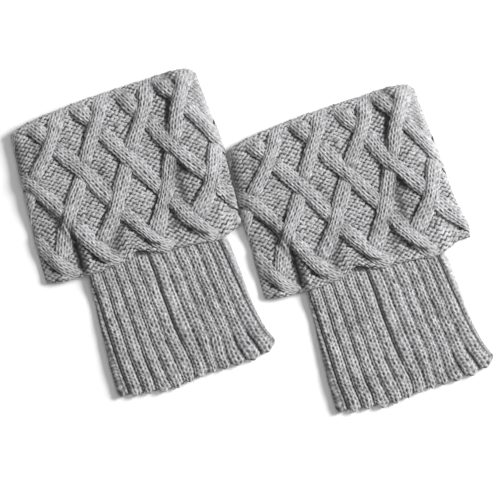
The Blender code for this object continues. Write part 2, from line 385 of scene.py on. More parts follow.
def sleeve_reach(y):
    """How far the sleeve reaches to the left and the right at this height up the leg."""
    left = smooth_through(SLEEVE_SECTIONS, y, SLEEVE_COLUMNS.index("left"))
    right = smooth_through(SLEEVE_SECTIONS, y, SLEEVE_COLUMNS.index("right"))
    return left, right


def cuff_front_height(x, y, to_left, side_height):
    """The front lies on the sleeve, and lower where it overhangs beside it."""
    sleeve_left, sleeve_right = sleeve_reach(y)
    fall = smooth_through(OVERHANG_FALL, y)
    fall_right = np.maximum(fall, OVERHANG["least_fall_right"])
    on_sleeve = ease(1 + (x + sleeve_left + OVERHANG["margin"]) / fall)
    on_sleeve = on_sleeve * ease(1 - (x - sleeve_right - OVERHANG["margin"]) / fall_right)
    low = ease(2 * (1 - y / CREASE["top_y"]))
    past = x + sleeve_left + CREASE["beyond_sleeve"]
    flank = np.square(np.clip(1 - past / CREASE["right"], 0, 1))
    crease = CREASE["depth"] * low * np.where(past < 0, hump(past, CREASE["left"]), flank)
    rounded = LEFT_ROUND["drop"] * np.square(np.clip(1 - to_left / LEFT_ROUND["width"], 0, 1))
    puff = PUFF["rise"] * hump(x - PUFF["x"], PUFF["width"]) * ease(1 - y / PUFF["top_y"])
    return side_height + (STACK_HEIGHT - side_height) * on_sleeve + puff - crease - rounded


def top_dip(x, y):
    """How far the turned top pulls the cloth down at this height, to follow the top's edge."""
    return smooth_through(TOP_EDGE, x) * ease((y - DIP_FROM_Y) / (FOLD_Y - DIP_FROM_Y))


# %% [markdown]
# ## The lattice's own map
#
# The cables are easiest to lay out on the cuff's own map: half pitches of the lattice across,
# and rows of crossings up. On it every strand is a straight diagonal. cuff_point carries a
# place on this map, and a height over the cloth, into space, and goes on over the turned
# top and down inside. strayed moves the crossings a little, because hand-laid cloth pulls
# its lattice out of true. Where the cuff turns under or lies on the floor, its cables are
# pressed into the cloth.

# %% Sizes of the lattice
REPEATS = 9
HALF_PITCHES = 2 * REPEATS
HALF_PITCH = 0.0174
CROSSING_STEP = 0.0297
FIRST_HALF_PITCH = -0.815  # at the left fold
CROSSING_Y = 0.0093
FLAT_RISE = {"side": 0.0002, "under": 0.0012}  # height of the pressed cables over the ground
PRESSED_LEFT = {"width": 0.013, "share": 0.4}  # the cables lie flatter towards the left fold
PRESSED_FROM = 1.5  # the higher, the sooner the cables sink towards a fold
CLEAR_OF_FOLDS = 2.5  # the higher, the nearer to a fold the painted shade between the yarns is full
LEANS_OVER = {"right": 0.0016, "right_tucked": 0.0}  # how far its left side nears the other cuff
LEANS = {"from_y": 0.035, "over": 0.020, "within": 0.014}  # from there up, and near the fold
HEM_WAVE_ROWS = 1.2  # the hem's wave is felt this far up the cuff


def row_of(y):
    """A height up the cuff, counted in rows of crossings."""
    return (y - CROSSING_Y) / CROSSING_STEP


HEM_ROW, FOLD_ROW = row_of(HEM_Y), row_of(FOLD_Y)
TURNED_IN = math.pi * FOLD_RADIUS + FOLD_Y - SEAM_Y
SEAM_ROW = FOLD_ROW + TURNED_IN / CROSSING_STEP  # along the cloth, over the turned top

print(f"{HALF_PITCHES} strands, {1000 * HALF_PITCH:.1f} mm apart round a cuff")

# %% How the lattice strays
WANDER = {"by": 0.0006, "across": 2.6, "along": 3.2}  # how the strands wander
HOOK = {"right": 0.0060, "below": 0.50}  # they turn to the right in the rows next to the hem
STRAY = {"spread": 1.6, "true": 0.05, "near_hem": 0.45, "near_top": 0.5, "past_top": 0.1}
STRAY_CROSSINGS = (  # half pitch and row of a crossing, and how far it lies to the right and up
    (0, 0, 0.0006, -0.0008),
    (2, 0, -0.0035, 0.0020),
    (4, 0, 0.0000, -0.0021),
    (6, 0, -0.0026, 0.0026),
    (8, 0, 0.0008, -0.0030),
    (1, 1, -0.0012, -0.0002),
    (3, 1, 0.0002, 0.0000),
    (5, 1, 0.0026, -0.0025),
    (7, 1, 0.0021, -0.0020),
    (0, 2, -0.0038, 0.0036),
    (2, 2, 0.0006, 0.0020),
    (4, 2, 0.0014, 0.0012),
    (6, 2, -0.0012, -0.0009),
    (8, 2, -0.0009, -0.0032),
    (-1, 3, -0.0065, 0.0000),
    (1, 3, 0.0005, 0.0004),
    (3, 3, 0.0018, 0.0016),
    (5, 3, 0.0023, -0.0023),
    (7, 3, -0.0020, 0.0008),
)


def nearness(half_pitch, row, crossing, spread):
    """1 at this crossing, and fading softly round it, over the left fold too."""
    away = (half_pitch - crossing[0] + REPEATS) % HALF_PITCHES - REPEATS
    return np.exp(-spread * (np.square(away) + np.square(row - crossing[1])))


def strayed(half_pitch, row):
    """How far the crossings near this place lie off their true lattice, in map units."""
    around, up, weights = 0.0, 0.0, STRAY["true"]
    for *crossing, right, rise in STRAY_CROSSINGS:
        weight = nearness(half_pitch, row, crossing, STRAY["spread"])
        around = around + weight * right / HALF_PITCH
        up = up + weight * rise / CROSSING_STEP
        weights = weights + weight
    near_hem = ease((row - HEM_ROW) / STRAY["near_hem"])
    near_top = ease((FOLD_ROW + STRAY["past_top"] - row) / STRAY["near_top"])
    across, along = WANDER["across"] * half_pitch, WANDER["along"] * row
    wander = WANDER["by"] / HALF_PITCH * unevenness(across, along, 3)
    hooked = np.square(np.clip(1 - (row - HEM_ROW) / HOOK["below"], 0, 1))
    hook = HOOK["right"] / HALF_PITCH * hooked
    return around / weights + wander + hook, up / weights * near_hem * near_top


# %% From the map into space
def share_round_cuff(half_pitch, y, right):
    """The share of the way round the cuff, where a tucked right side turns under sooner."""
    left_reach, full, tucked, height = cuff_sizes(y, "left", "right", right, "side_height")
    fold = (left_reach + tucked - height) + math.pi * height / 2
    fold = 0.5 * fold / (left_reach + full - height + math.pi * height / 2)
    share = (half_pitch - FIRST_HALF_PITCH) / HALF_PITCHES % 1.0
    after = 0.5 + 0.5 * (share - fold) / (1 - fold)
    return np.where(share < fold, 0.5 * share / fold, after)


def cuff_point(half_pitch, row, height, right):
    """Space coordinates of a place on the cuff's map, this height over the cloth."""
    past = np.maximum(row - FOLD_ROW, 0.0) * CROSSING_STEP
    turn = np.minimum(past / FOLD_RADIUS, math.pi)
    down = np.maximum(past - math.pi * FOLD_RADIUS, 0.0)
    turned = past > 0
    y = CROSSING_Y + np.minimum(row, FOLD_ROW) * CROSSING_STEP
    left_reach, right_reach, side_height = cuff_sizes(y, "left", right, "side_height")
    share = share_round_cuff(half_pitch, y, right)
    inset = np.where(turned, FOLD_RADIUS, 0.0)
    x, z, angle = flat_tube(share, left_reach, right_reach, side_height, inset)
    front = np.clip(np.sin(angle), 0, 1)
    z = z + front * (cuff_front_height(x, y, x + left_reach, side_height) - side_height)
    low = ease(1 - (row - HEM_ROW) / HEM_WAVE_ROWS)
    hem = smooth_through(FRONT_HEM, x) * front + BACK_HEM * (1 - front) - HEM_Y
    y = y + hem * low - top_dip(x, y) - down
    raised = height + inset
    leans = LEANS_OVER[right] * ease((y - LEANS["from_y"]) / LEANS["over"])
    x = x - leans * ease(1 - (x + left_reach) / LEANS["within"])
    x = x + raised * np.cos(angle) * np.cos(turn)
    z = z + raised * np.sin(angle) * np.cos(turn)
    return np.stack([x, y + raised * np.sin(turn), z], axis=-1)


def faces_up(half_pitch, row, right):
    """1 on the front, where cables stand up freely, 0 at the folds and -1 on the underside."""
    y = CROSSING_Y + np.minimum(row, FOLD_ROW) * CROSSING_STEP
    left_reach, right_reach, height = cuff_sizes(y, "left", right, "side_height")
    share = share_round_cuff(half_pitch, y, right)
    x, _, angle = flat_tube(share, left_reach, right_reach, height, 0.0)
    near_left = 1 - ease((x + left_reach) / PRESSED_LEFT["width"])
    upward = np.sin(angle)
    return upward * np.where(upward > 0, 1 - PRESSED_LEFT["share"] * near_left, 1)


def clear_of_folds(upward):
    """1 on the front and on the underside, and 0 along the side folds."""
    return ease(CLEAR_OF_FOLDS * np.abs(upward))


def over_the_cloth(height, upward):
    """Heights over the ground, pressed into the cloth at the folds and on the floor."""
    free = np.clip(upward, 0, 1) ** PRESSED_FROM
    under = np.clip(-upward, 0, 1)
    pressed = FLAT_RISE["side"] + (FLAT_RISE["under"] - FLAT_RISE["side"]) * under
    return height * free + pressed * (np.minimum(height / CABLE_TOP, 1.0) - 1.0) * (1 - free)


# %% [markdown]
# ## From a grid to knitted cloth
#
# Each piece starts as a flat grid. Its points are carried to their places, its edges are
# welded so that it closes on itself, and it is turned right side out. A wall of cloth closes
# both ways: its last row meets its first. A strand closes only round itself, and each of its
# ends tapers to one point. The grid also carries two things for the material: the painted
# shade of each point, from how deep it lies between the yarns and from painted creases,
# slits and folds, and where it is on the knitting chart.

# %% Wrap a grid into a closed piece
WELD = 1e-6


def wrapped_grid(name, points, depth, chart, is_wall=True, yarn_runs_round=False):
    """A closed mesh from a grid of places, with the painted shade of each place and its chart."""
    rows, around = points.shape[:2]
    spans = rows if is_wall else rows - 1
    wall = bmesh.new()
    bmesh.ops.create_grid(wall, x_segments=around, y_segments=spans, size=0.5)
    mesh = bpy.data.meshes.new(name)
    wall.to_mesh(mesh)
    flat = np.empty(3 * len(mesh.vertices))
    mesh.vertices.foreach_get("co", flat)
    flat = flat.reshape(-1, 3)
    column = np.rint((flat[:, 0] + 0.5) * around).astype(int)
    row = np.rint((flat[:, 1] + 0.5) * spans).astype(int)
    mesh.vertices.foreach_set("co", points[row % rows, column % around].ravel())
    # the depth attribute is painted shade: from the gaps between the yarns and from marked creases,
    # slits and folds
    layer = mesh.attributes.new("depth", "FLOAT", "POINT")
    layer.data.foreach_set("value", depth[row % rows, column % around].ravel())
    corners = np.empty(len(mesh.loops), dtype=np.int32)
    mesh.loops.foreach_get("vertex_index", corners)
    columns_at, rows_at = chart
    places = np.stack([columns_at[column[corners]], rows_at[row[corners]]], axis=-1)
    if yarn_runs_round:
        places = places[:, ::-1]
    mesh.uv_layers.new(name="chart").uv.foreach_set("vector", places.ravel())
    wall.clear()
    wall.from_mesh(mesh)
    bmesh.ops.remove_doubles(wall, verts=wall.verts, dist=WELD)
    bmesh.ops.recalc_face_normals(wall, faces=wall.faces)
    for face in wall.faces:
        face.smooth = True
    wall.to_mesh(mesh)
    wall.free()
    return mesh


def finer_steps(knots, per_unit):
    """Places from knot to knot, with the given number of steps for each unit between them."""
    parts = [
        np.linspace(start, end, max(1, round((end - start) * steps)), endpoint=False)
        for start, end, steps in zip(knots, knots[1:], per_unit)
    ]
    return np.concatenate(parts)


# %% [markdown]
# ## The cuff's ground
#
# Between the cables the cuff shows the wrong side of plain knitting. The wall goes from its
# hem up the outside, over the turned top and down to the seam, then back on its plain inner
# side. On the left of each cable the ground sinks into a narrow trough, and it stays low under
# the cable, so that it doesn't show through; painted shadow fills the slit at the cable's foot.
# Three short tables of soft lines on the map give it the rest of its life: puckers where the
# cables pull it into hollows, with painted shade in them, and some lines of painted shade
# alone; hooked lines of painted shadow round the strands' ends at the hem; and places where
# less shade is painted between the yarns, so that they look paler.

# %% Sizes of the ground
GROUND_STITCHES = 68
GROUND_ROW = 0.00347
GROUND_RELIEF = 0.00145
HEM_ROUND = 0.0012
CABLE_TOP = 0.0034
STRAND_HALF_WIDTH = 0.0056
RISING_FROM_ROW = -0.12  # the rising strands end under the lowest crossings
# the slit is the width of the painted shadow at a strand's left foot
TROUGH = {"depth": 0.0019, "width": 0.0020, "under": 0.0018, "slit": 0.0009}
MERGED = {"below": 0.0032, "fade": 0.0035}  # near the hem strand and ground are one cloth
STRAND_END = 0.04  # rows from the hem to the end of a falling strand
GROUND_MIDDLE = 0.55  # a face this high lies level with the plain cloth
GROUND_WOBBLE = {"across": 0.10, "along": 0.12, "relief": 0.15}
OPEN_FROM = 0.25  # rows below the fold: the troughs close towards the turned top
PILLOW = {"rise": 0.0006, "width": 0.008}
WELT = {"middle": 0.0030, "width": 0.0036, "rise": 0.0014}  # the cast-off edge
LOWEST = {"cloth": -0.0013, "gap": -0.0022}  # nothing comes out of the wall's inner side
LEAN = math.cos(math.atan2(HALF_PITCH, CROSSING_STEP))
print(f"{GROUND_STITCHES} stitches round, {1000 * GROUND_ROW:.1f} mm from course to course")

# %% Soft lines on the ground
PUCKERS_AND_SHADE = (  # from half pitch and row, to half pitch and row, width, depth, painted shade
    (5.88, 1.82, 5.76, 0.60, 0.0085, 0.0018, 0.70),
    (5.50, 1.95, 5.45, 1.75, 0.0045, 0.0008, 0.80),
    (6.05, 1.90, 6.15, 1.35, 0.0062, 0.0008, 0.94),
    (7.20, 0.85, 7.15, 0.45, 0.0060, 0.0004, 0.45),
    (1.55, -0.20, 2.00, -0.38, 0.0055, 0.0000, 0.40),
    (5.98, 2.15, 6.43, 3.10, 0.0130, 0.0002, 0.46),
    (6.25, 1.50, 6.20, 0.80, 0.0120, 0.0003, 0.32),
    (6.05, 2.28, 6.13, 2.68, 0.0042, 0.0020, 0.85),
    (6.13, 2.68, 6.45, 3.15, 0.0044, 0.0022, 0.92),
    (5.90, 3.63, 6.33, 3.05, 0.0036, 0.0010, 0.70),
    (6.70, 3.70, 6.85, 3.32, 0.0085, 0.0008, 0.66),
    (0.93, 0.84, 0.86, -0.16, 0.0052, 0.0012, 1.00),
    (1.15, 0.50, 1.05, -0.20, 0.0080, 0.0000, 0.45),
    (0.53, 1.34, 0.70, 1.06, 0.0058, 0.0015, 0.95),
    (0.70, 1.06, 0.53, 0.85, 0.0050, 0.0012, 0.90),
    (-0.20, 1.69, 0.58, 1.12, 0.0034, 0.0010, 0.80),
    (-0.60, 3.64, -0.45, 2.55, 0.0120, 0.0000, 0.60),
    (-0.80, 3.70, -0.75, -0.30, 0.0080, 0.0000, 0.42),
    (-0.50, 3.60, -0.30, -0.30, 0.0220, 0.0000, 0.20),
    (0.35, 3.20, 0.22, 2.70, 0.0065, 0.0003, 0.55),
    (-0.38, 2.15, -0.42, 1.65, 0.0065, 0.0003, 0.50),
    (2.70, 2.10, 2.95, 1.30, 0.0060, 0.0004, 0.45),
    (2.80, 0.45, 2.42, -0.15, 0.0095, 0.0006, 0.62),
    (4.95, 0.30, 5.12, -0.15, 0.0070, 0.0006, 0.52),
    (3.03, 0.53, 3.73, -0.16, 0.0065, 0.0008, 0.48),
    (5.10, 0.58, 5.15, 0.19, 0.0060, 0.0010, 0.70),
    (5.15, 0.19, 5.55, -0.07, 0.0050, 0.0010, 0.62),
    (2.18, 3.57, 2.58, 3.14, 0.0032, 0.0010, 0.72),
    (2.58, 3.14, 2.48, 2.82, 0.0034, 0.0010, 0.72),
    (2.08, 0.64, 2.90, 1.14, 0.0034, 0.0004, 0.50),
    (5.28, 3.49, 5.18, 3.16, 0.0030, 0.0008, 0.65),
)
HOOK_SHADOW_LINES = (  # a line of painted shadow, in a shallow dent, round the end of a strand at the hem
    (1.55, -0.09, 1.98, -0.22, 0.0020, 0.0008, 0.75),
    (3.72, -0.04, 3.85, -0.12, 0.0022, 0.0008, 0.95),
    (3.85, -0.12, 4.18, -0.17, 0.0022, 0.0008, 0.95),
    (5.66, 0.00, 5.80, -0.11, 0.0022, 0.0008, 0.95),
    (5.80, -0.11, 6.14, -0.19, 0.0022, 0.0008, 0.95),
)
LESS_GAP_SHADE = (  # less shade is painted between the yarns here, so these places look paler
    (7.45, 3.55, 7.85, 1.80, 0.0220, 0.0000, 0.42),
    (7.45, 0.20, 7.60, -0.05, 0.0070, 0.0000, 0.55),
)


def along_lines(lines, half_pitch, row):
    """The depth and painted shade that soft lines on the cuff's map give to this place."""
    total, darkness = 0.0, 0.0
    for from_place, from_row, to_place, to_row, width, depth, dark in lines:
        right = (to_place - from_place) * HALF_PITCH
        up = (to_row - from_row) * CROSSING_STEP
        x = (half_pitch - from_place) * HALF_PITCH
        y = (row - from_row) * CROSSING_STEP
        way = np.clip((x * right + y * up) / (right**2 + up**2), 0, 1)
        apart = np.hypot(x - way * right, y - way * up)
        total = total + depth * hump(apart, width)
        darkness = np.maximum(darkness, dark * hump(apart, width))
    return total, darkness


# %% Height and depth of the ground
def from_strands(half_pitch, row):
    """Distances on the cloth from the nearest falling and rising strand, below 0 on the left."""
    around, up = strayed(half_pitch, row)
    half_pitch, row = half_pitch - around, row - up
    falling = (half_pitch + row + 1) % 2 - 1
    rising = np.where(row < RISING_FROM_ROW, 1.0, (half_pitch - row + 1) % 2 - 1)
    return falling * HALF_PITCH * LEAN, rising * HALF_PITCH * LEAN


def trough_beside(away):
    """How far the cloth sinks beside a strand on its left, and under it, as a share."""
    beside = np.abs(away) - STRAND_HALF_WIDTH
    return np.where(away < 0, ease(1 - beside / TROUGH["width"]), ease(-beside / TROUGH["under"]))


def slit_beside(away):
    """1 in the slit at a strand's left foot, where no light comes in."""
    beside = np.abs(away) - STRAND_HALF_WIDTH
    return np.where(away < 0, ease(1 - beside / TROUGH["slit"]), 0.0)


def ground_height(half_pitch, row, right, seed):
    """Height of the purl ground over the plain cloth, and its painted shade: between the yarns, in
    the puckers and hooks, and in the slits.
    """
    stitch = (half_pitch - FIRST_HALF_PITCH) / HALF_PITCHES * GROUND_STITCHES
    course = (row - HEM_ROW) * CROSSING_STEP / GROUND_ROW
    wobble = unevenness(stitch, course, seed)
    wave = unevenness(stitch, course, seed + 1)
    across = stitch + GROUND_WOBBLE["across"] * wobble
    face = purl_face(across, course + GROUND_WOBBLE["along"] * wave)
    relief = GROUND_RELIEF * (face - GROUND_MIDDLE) * (1 + GROUND_WOBBLE["relief"] * wobble)
    relief = relief + fibres_over(face, seed + 5)
    falling, rising = from_strands(half_pitch, row)
    beside = np.minimum(np.abs(falling), np.abs(rising)) - STRAND_HALF_WIDTH
    to_hem = (row - HEM_ROW) * CROSSING_STEP
    strands_on = ease((to_hem - MERGED["below"]) / MERGED["fade"])
    open_cloth = ease((FOLD_ROW - row) / OPEN_FROM)
    open_cloth = open_cloth * clear_of_folds(faces_up(half_pitch, row, right))
    trough = np.maximum(trough_beside(falling) * strands_on, trough_beside(rising)) * open_cloth
    pucker, dark = along_lines(PUCKERS_AND_SHADE + HOOK_SHADOW_LINES, half_pitch, row)
    face = 1 - (1 - face) * (1 - along_lines(LESS_GAP_SHADE, half_pitch, row)[1])
    cloth = PILLOW["rise"] * ease(beside / PILLOW["width"]) - TROUGH["depth"] * trough - pucker
    cloth = cloth + WELT["rise"] * hump(to_hem - WELT["middle"], WELT["width"])
    height = np.maximum(np.maximum(cloth, LOWEST["cloth"]) + relief, LOWEST["gap"])
    slit = np.maximum(slit_beside(falling) * strands_on, slit_beside(rising)) * open_cloth
    rounding = np.clip(1 - to_hem / HEM_ROUND, 0, 1)
    # painted shade: between the yarns, in the puckers and hook lines, and painted shadow in the slit
    depth = np.maximum(1 - face * (1 - dark), slit)
    return height - HEM_ROUND * np.square(rounding), depth


# %% Knit the ground
STITCH_STEPS = {"front": 8, "back": 2}
COURSE_STEPS = {"outside": 6, "turned_in": 1}
INNER_STEPS = 14
OUT_OF_SIGHT = {"from": 0.75, "rows": 0.15}  # of half a turn over the top, and the rows after it
INSIDE_GAP_SHADE = 0.4  # the plain inner side gets a small, even share of the painted gap shade


def cuff_ground(name, place, right, seed):
    """The cuff's wall as one closed mesh, at its place in the pair."""
    half = GROUND_STITCHES / 2
    stitches = finer_steps((0, half, GROUND_STITCHES), tuple(STITCH_STEPS.values()))
    half_pitch = FIRST_HALF_PITCH + stitches / GROUND_STITCHES * HALF_PITCHES
    step = GROUND_ROW / CROSSING_STEP
    crest_row = FOLD_ROW + OUT_OF_SIGHT["from"] * math.pi * FOLD_RADIUS / CROSSING_STEP
    steps = [count / step for count in COURSE_STEPS.values()]
    outer = finer_steps((HEM_ROW, crest_row, SEAM_ROW), steps)
    inner = np.linspace(SEAM_ROW, HEM_ROW, INNER_STEPS)
    rows = np.concatenate([outer, inner])[:, None]
    height, depth = ground_height(half_pitch[None, :], rows, right, seed)
    upward = faces_up(half_pitch[None, :], rows, right)
    height = over_the_cloth(height, upward)
    inside = np.arange(len(rows)) >= len(outer)
    tucked = ease((rows - crest_row) / OUT_OF_SIGHT["rows"])
    height = height * (1 - tucked)
    height[inside] = -CUFF_WALL
    depth = np.where(inside[:, None], INSIDE_GAP_SHADE, depth)
    points = cuff_point(half_pitch[None, :], rows, height, right)
    points = points + np.array([*place, 0.0])
    chart = (np.append(stitches, GROUND_STITCHES), np.append(rows[:, 0], HEM_ROW) / step)
    return wrapped_grid(name, points, depth, chart, yarn_runs_round=True)


# %% [markdown]
# ## The cables
#
# Each strand of the lattice is three columns of knit stitches that travel across the ground.
# Half of them rise to the right and half to the left. Where two cross, one arches over and
# the other dives under it, and in the next row of crossings they change roles. A strand is a
# tube of its own, so that it has a real edge and a real shadow where it crosses another. At
# the hem it flattens into the ground, because there the two are cast off together.

# %% Sizes of a strand
STRAND_COLUMNS = 3
STRAND_THICKNESS = 0.0036
STRAND_STITCH = 0.00415
STRAND_RELIEF = 0.0016
STRAND_LOOK = {"gap": 0.75, "hole": 0.80, "edge": 0.70, "edge_width": 0.28}  # depths as shares
STRAND_SHADE = 0.95  # how much of the painted shade of the puckers falls on the strands too
FLANK = {"from": 0.30, "blend": 0.50, "top": 0.35}  # and less of it on a strand's top
STRAND_ARC = 0.72  # below 1, the mesh lies closer on the top than on the flanks
STRAND_ROUND = 0.85  # below 1, the top is flatter than a half circle
STRAND_WAIST = {"least": 0.92, "more": 0.12}  # its width at a crossing, and what is added between
COLUMNS_ARC = 0.86  # 1 shares the columns evenly from above, 0 evenly along the surface
PLUMP = {"by": 0.09, "pace": 8}
COURSE_WANDER = {"by": 0.3, "pace": 3}
COLUMN_WANDER = {"by": 0.14, "pace": 6}
KNIT_MIDDLE = 0.6  # a face this high lies level with the plain form
STRAND_LENGTH = math.hypot(HALF_PITCH, CROSSING_STEP)  # from one crossing to the next
MID_TOP = 0.0038  # height of its top between the crossings
OVER = {"rise": 0.0005, "reach": 0.0085}
UNDER = {"dive": 0.0030, "from": 0.0088, "to": 0.0040}
UNDERSIDE = (0.80, 0.0, -0.80)  # places across the flat back of a strand
# the flat back of a strand drops this far and gets this much painted shade
UNDERSIDE_DROP, UNDERSIDE_SHADE = 0.0008, 0.9
END_DROP = 0.0006  # its tapered ends go into the cloth
END_TURN = 0.72  # of half a turn over the top, where the strands end
CREST = {"fades_from": 0.26, "left": 0.16}  # rows before the fold, and the share on its crest
HEM_FADE = {"from": 0.50, "left": 0.58}  # the same at the hem
STRAND_TAPER = 0.0030
FINE_STEP, COARSE_STEP = 0.00071, 0.0040
STRAND_STEPS_ACROSS = 34
SHOWS = {"before_fold": 0.02, "share": 0.54}  # of the way round, from the left fold
FOLD_GAP_SHADE = 0.4  # how much of the shade painted between the yarns is left along a side fold
FOOT_FROM = 0.84  # of half the way across, where painted shade starts on a strand's left foot
print(f"a strand is {2000 * STRAND_HALF_WIDTH:.0f} mm wide and {STRAND_COLUMNS} columns of stitches")

# %% The shape of a strand
LIFT_SPREAD = 4.0
LIFTED_CROSSINGS = (  # half pitch and row of a crossing, and how far it stands up
    (7, 3, 0.0018),
    (6, 2, 0.0016),
    (1, 1, 0.0016),
    (4, 2, 0.0006),
    (3, 1, 0.0006),
    (8, 2, -0.0008),
    (0, 2, -0.0008),
)


def lift_at(half_pitch, row):
    """How much higher the cloth stands at some crossings."""
    total = 0.0
    for *crossing, rise in LIFTED_CROSSINGS:
        total = total + rise * nearness(half_pitch, row, crossing, LIFT_SPREAD)
    return total


def strand_top(row, over_even):
    """Height of a strand's top along its way, over and under by turns."""
    nearest = np.rint(row)
    distance = np.abs(row - nearest) * STRAND_LENGTH
    over = (nearest % 2 == 0) == over_even
    arch = OVER["rise"] * bell(distance, OVER["reach"])
    dive = UNDER["dive"] * ease((UNDER["from"] - distance) / (UNDER["from"] - UNDER["to"]))
    crest = ease((row - FOLD_ROW + CREST["fades_from"]) / CREST["fades_from"])
    hem = ease(1 - (row - HEM_ROW) / HEM_FADE["from"])
    kept = (1 - (1 - CREST["left"]) * crest) * (1 - (1 - HEM_FADE["left"]) * hem)
    return (MID_TOP + np.where(over, arch, -dive)) * kept


def strand_section(row, across, over_even, seed):
    """Offset, height and depth of the stitched top of a strand, and the painted shade at its left
    foot.
    """
    top = strand_top(row, over_even)
    turn = (STRAND_ARC + (1 - STRAND_ARC) * np.square(across)) * across * math.pi / 2
    plump = 1 + PLUMP["by"] * unevenness(PLUMP["pace"] * row, 0 * row, seed)
    waist = STRAND_WAIST["least"] + STRAND_WAIST["more"] * np.square(np.sin(math.pi * row))
    half_width = STRAND_HALF_WIDTH * plump * waist
    column = np.sin(turn * COLUMNS_ARC) / math.sin(COLUMNS_ARC * math.pi / 2)
    column = (column + 1) / 2 * STRAND_COLUMNS
    uneven = unevenness(COURSE_WANDER["pace"] * row, column, seed + 1)
    course = row * STRAND_LENGTH / STRAND_STITCH + COURSE_WANDER["by"] * uneven
    astray = COLUMN_WANDER["by"] * unevenness(COLUMN_WANDER["pace"] * row, column, seed + 3)
    face = knit_face(column + astray, course, STRAND_LOOK)
    relief = STRAND_RELIEF * (face - KNIT_MIDDLE)
    offset = (half_width + relief) * np.sin(turn)
    thickness = STRAND_THICKNESS + relief + fibres_over(face, seed + 5)
    height = top - STRAND_THICKNESS + thickness * np.cos(turn) ** STRAND_ROUND
    foot = ease((-across - FOOT_FROM) / (1 - FOOT_FROM))
    stands_free = ease(((row - HEM_ROW) * CROSSING_STEP - MERGED["below"]) / MERGED["fade"])
    return offset, height, 1 - face, foot * stands_free


# %% Carry a strand over the ground
def strand_rows(start, slope, first_row, end_row):
    """Rows along a strand, close together where it shows and far apart on the underside."""
    rows = [first_row]
    while rows[-1] < end_row:
        share = (start + slope * rows[-1] - FIRST_HALF_PITCH) / HALF_PITCHES % 1.0
        shows = (share + SHOWS["before_fold"]) % 1.0 < SHOWS["share"]
        rows.append(rows[-1] + (FINE_STEP if shows else COARSE_STEP) / STRAND_LENGTH)
    rows[-1] = end_row
    return np.array(rows)[:, None]


def laid_strand(start, rising, right, seed):
    """A strand's points, depth and chart, from the hem to the turned top, from start at row 0."""
    slope = 1 if rising else -1
    end_row = FOLD_ROW + END_TURN * math.pi * FOLD_RADIUS / CROSSING_STEP
    first_row = RISING_FROM_ROW if rising else HEM_ROW + STRAND_END
    row = strand_rows(start, slope, first_row, end_row)
    across = np.linspace(-1, 1, STRAND_STEPS_ACROSS + 1)[None, :]
    offset, height, depth, foot = strand_section(row, across, not rising, seed)
    height = height + lift_at(start + slope * row, row)
    low_offset = np.array(UNDERSIDE)[None, :] * offset[:, -1:]
    low_height = np.full_like(low_offset, -UNDERSIDE_DROP) + height[:, -1:]
    offset = np.concatenate([offset, low_offset], axis=1)
    height = np.maximum(np.concatenate([height, low_height], axis=1), LOWEST["gap"])
    depth = np.concatenate([depth, np.full_like(low_offset, UNDERSIDE_SHADE)], axis=1)
    foot = np.concatenate([foot, np.zeros_like(low_offset)], axis=1)
    from_end = np.minimum(row - first_row, end_row - row) * STRAND_LENGTH
    taper = np.sqrt(np.clip(1 - np.square(1 - np.clip(from_end / STRAND_TAPER, 0, 1)), 0, 1))
    offset = offset * taper
    height = height * taper - END_DROP * (1 - taper)
    cosine, sine = CROSSING_STEP / STRAND_LENGTH, HALF_PITCH / STRAND_LENGTH
    map_row = row - slope * offset * sine / CROSSING_STEP
    half_pitch = start + slope * row + offset * cosine / HALF_PITCH
    around, up = strayed(start + slope * row, row)
    half_pitch, map_row = half_pitch + around, map_row + up
    upward = faces_up(half_pitch, map_row, right)
    on_flank = np.concatenate([np.abs(across), np.ones((1, len(UNDERSIDE)))], axis=1)
    on_flank = ease((on_flank - FLANK["from"]) / FLANK["blend"])
    # painted shade from the puckers, mostly on the flanks, and painted shadow from the hook lines
    shade = STRAND_SHADE * along_lines(PUCKERS_AND_SHADE, half_pitch, map_row)[1]
    shade = shade * (FLANK["top"] + (1 - FLANK["top"]) * on_flank)
    shade = np.maximum(shade, along_lines(HOOK_SHADOW_LINES, half_pitch, map_row)[1])
    off_fold = clear_of_folds(upward)
    depth = depth * (1 - along_lines(LESS_GAP_SHADE, half_pitch, map_row)[1])
    depth = depth * (FOLD_GAP_SHADE + (1 - FOLD_GAP_SHADE) * off_fold)
    depth = np.maximum(1 - (1 - depth) * (1 - shade), foot * off_fold)
    points = cuff_point(half_pitch, map_row, over_the_cloth(height, upward), right)
    chart_columns = np.linspace(0, STRAND_COLUMNS + 1, offset.shape[1] + 1)
    chart_rows = row[:, 0] * STRAND_LENGTH / STRAND_STITCH
    return points, depth, (chart_columns, chart_rows)


# %% Knit all strands of a cuff
def cuff_cables(name, place, right, seed):
    """All strands of one cuff, joined."""
    joined = bmesh.new()
    for number in range(HALF_PITCHES):
        rising = number >= REPEATS
        start = 2 * (number % REPEATS)
        points, depth, chart = laid_strand(start, rising, right, seed + 2 * number)
        points = points + np.array([*place, 0.0])
        mesh = wrapped_grid(name, points, depth, chart, is_wall=False)
        joined.from_mesh(mesh)
        bpy.data.meshes.remove(mesh)
    mesh = bpy.data.meshes.new(name)
    joined.to_mesh(mesh)
    joined.free()
    return mesh


# %% [markdown]
# ## The ribbed sleeve
#
# The sleeve is knitted in ribbing: columns of knit stitches stand up as round ribs, and the
# purl columns between them draw in to narrow grooves. From above a rib shows one full column
# along its top and half a column to either side, where it turns down into its groove. No two
# grooves are alike: tables say how strong each is, how it drifts on its way to the hem, and
# where it opens deeply. The sleeve lies flat below the cuff, flares a little at its lower
# right, and goes up plainly inside the cuff to the seam.
# Shade is painted into the grooves, on the left side of each rib, on the rib that turns away round
# the left fold and on the ribs just under the cuff's hem.

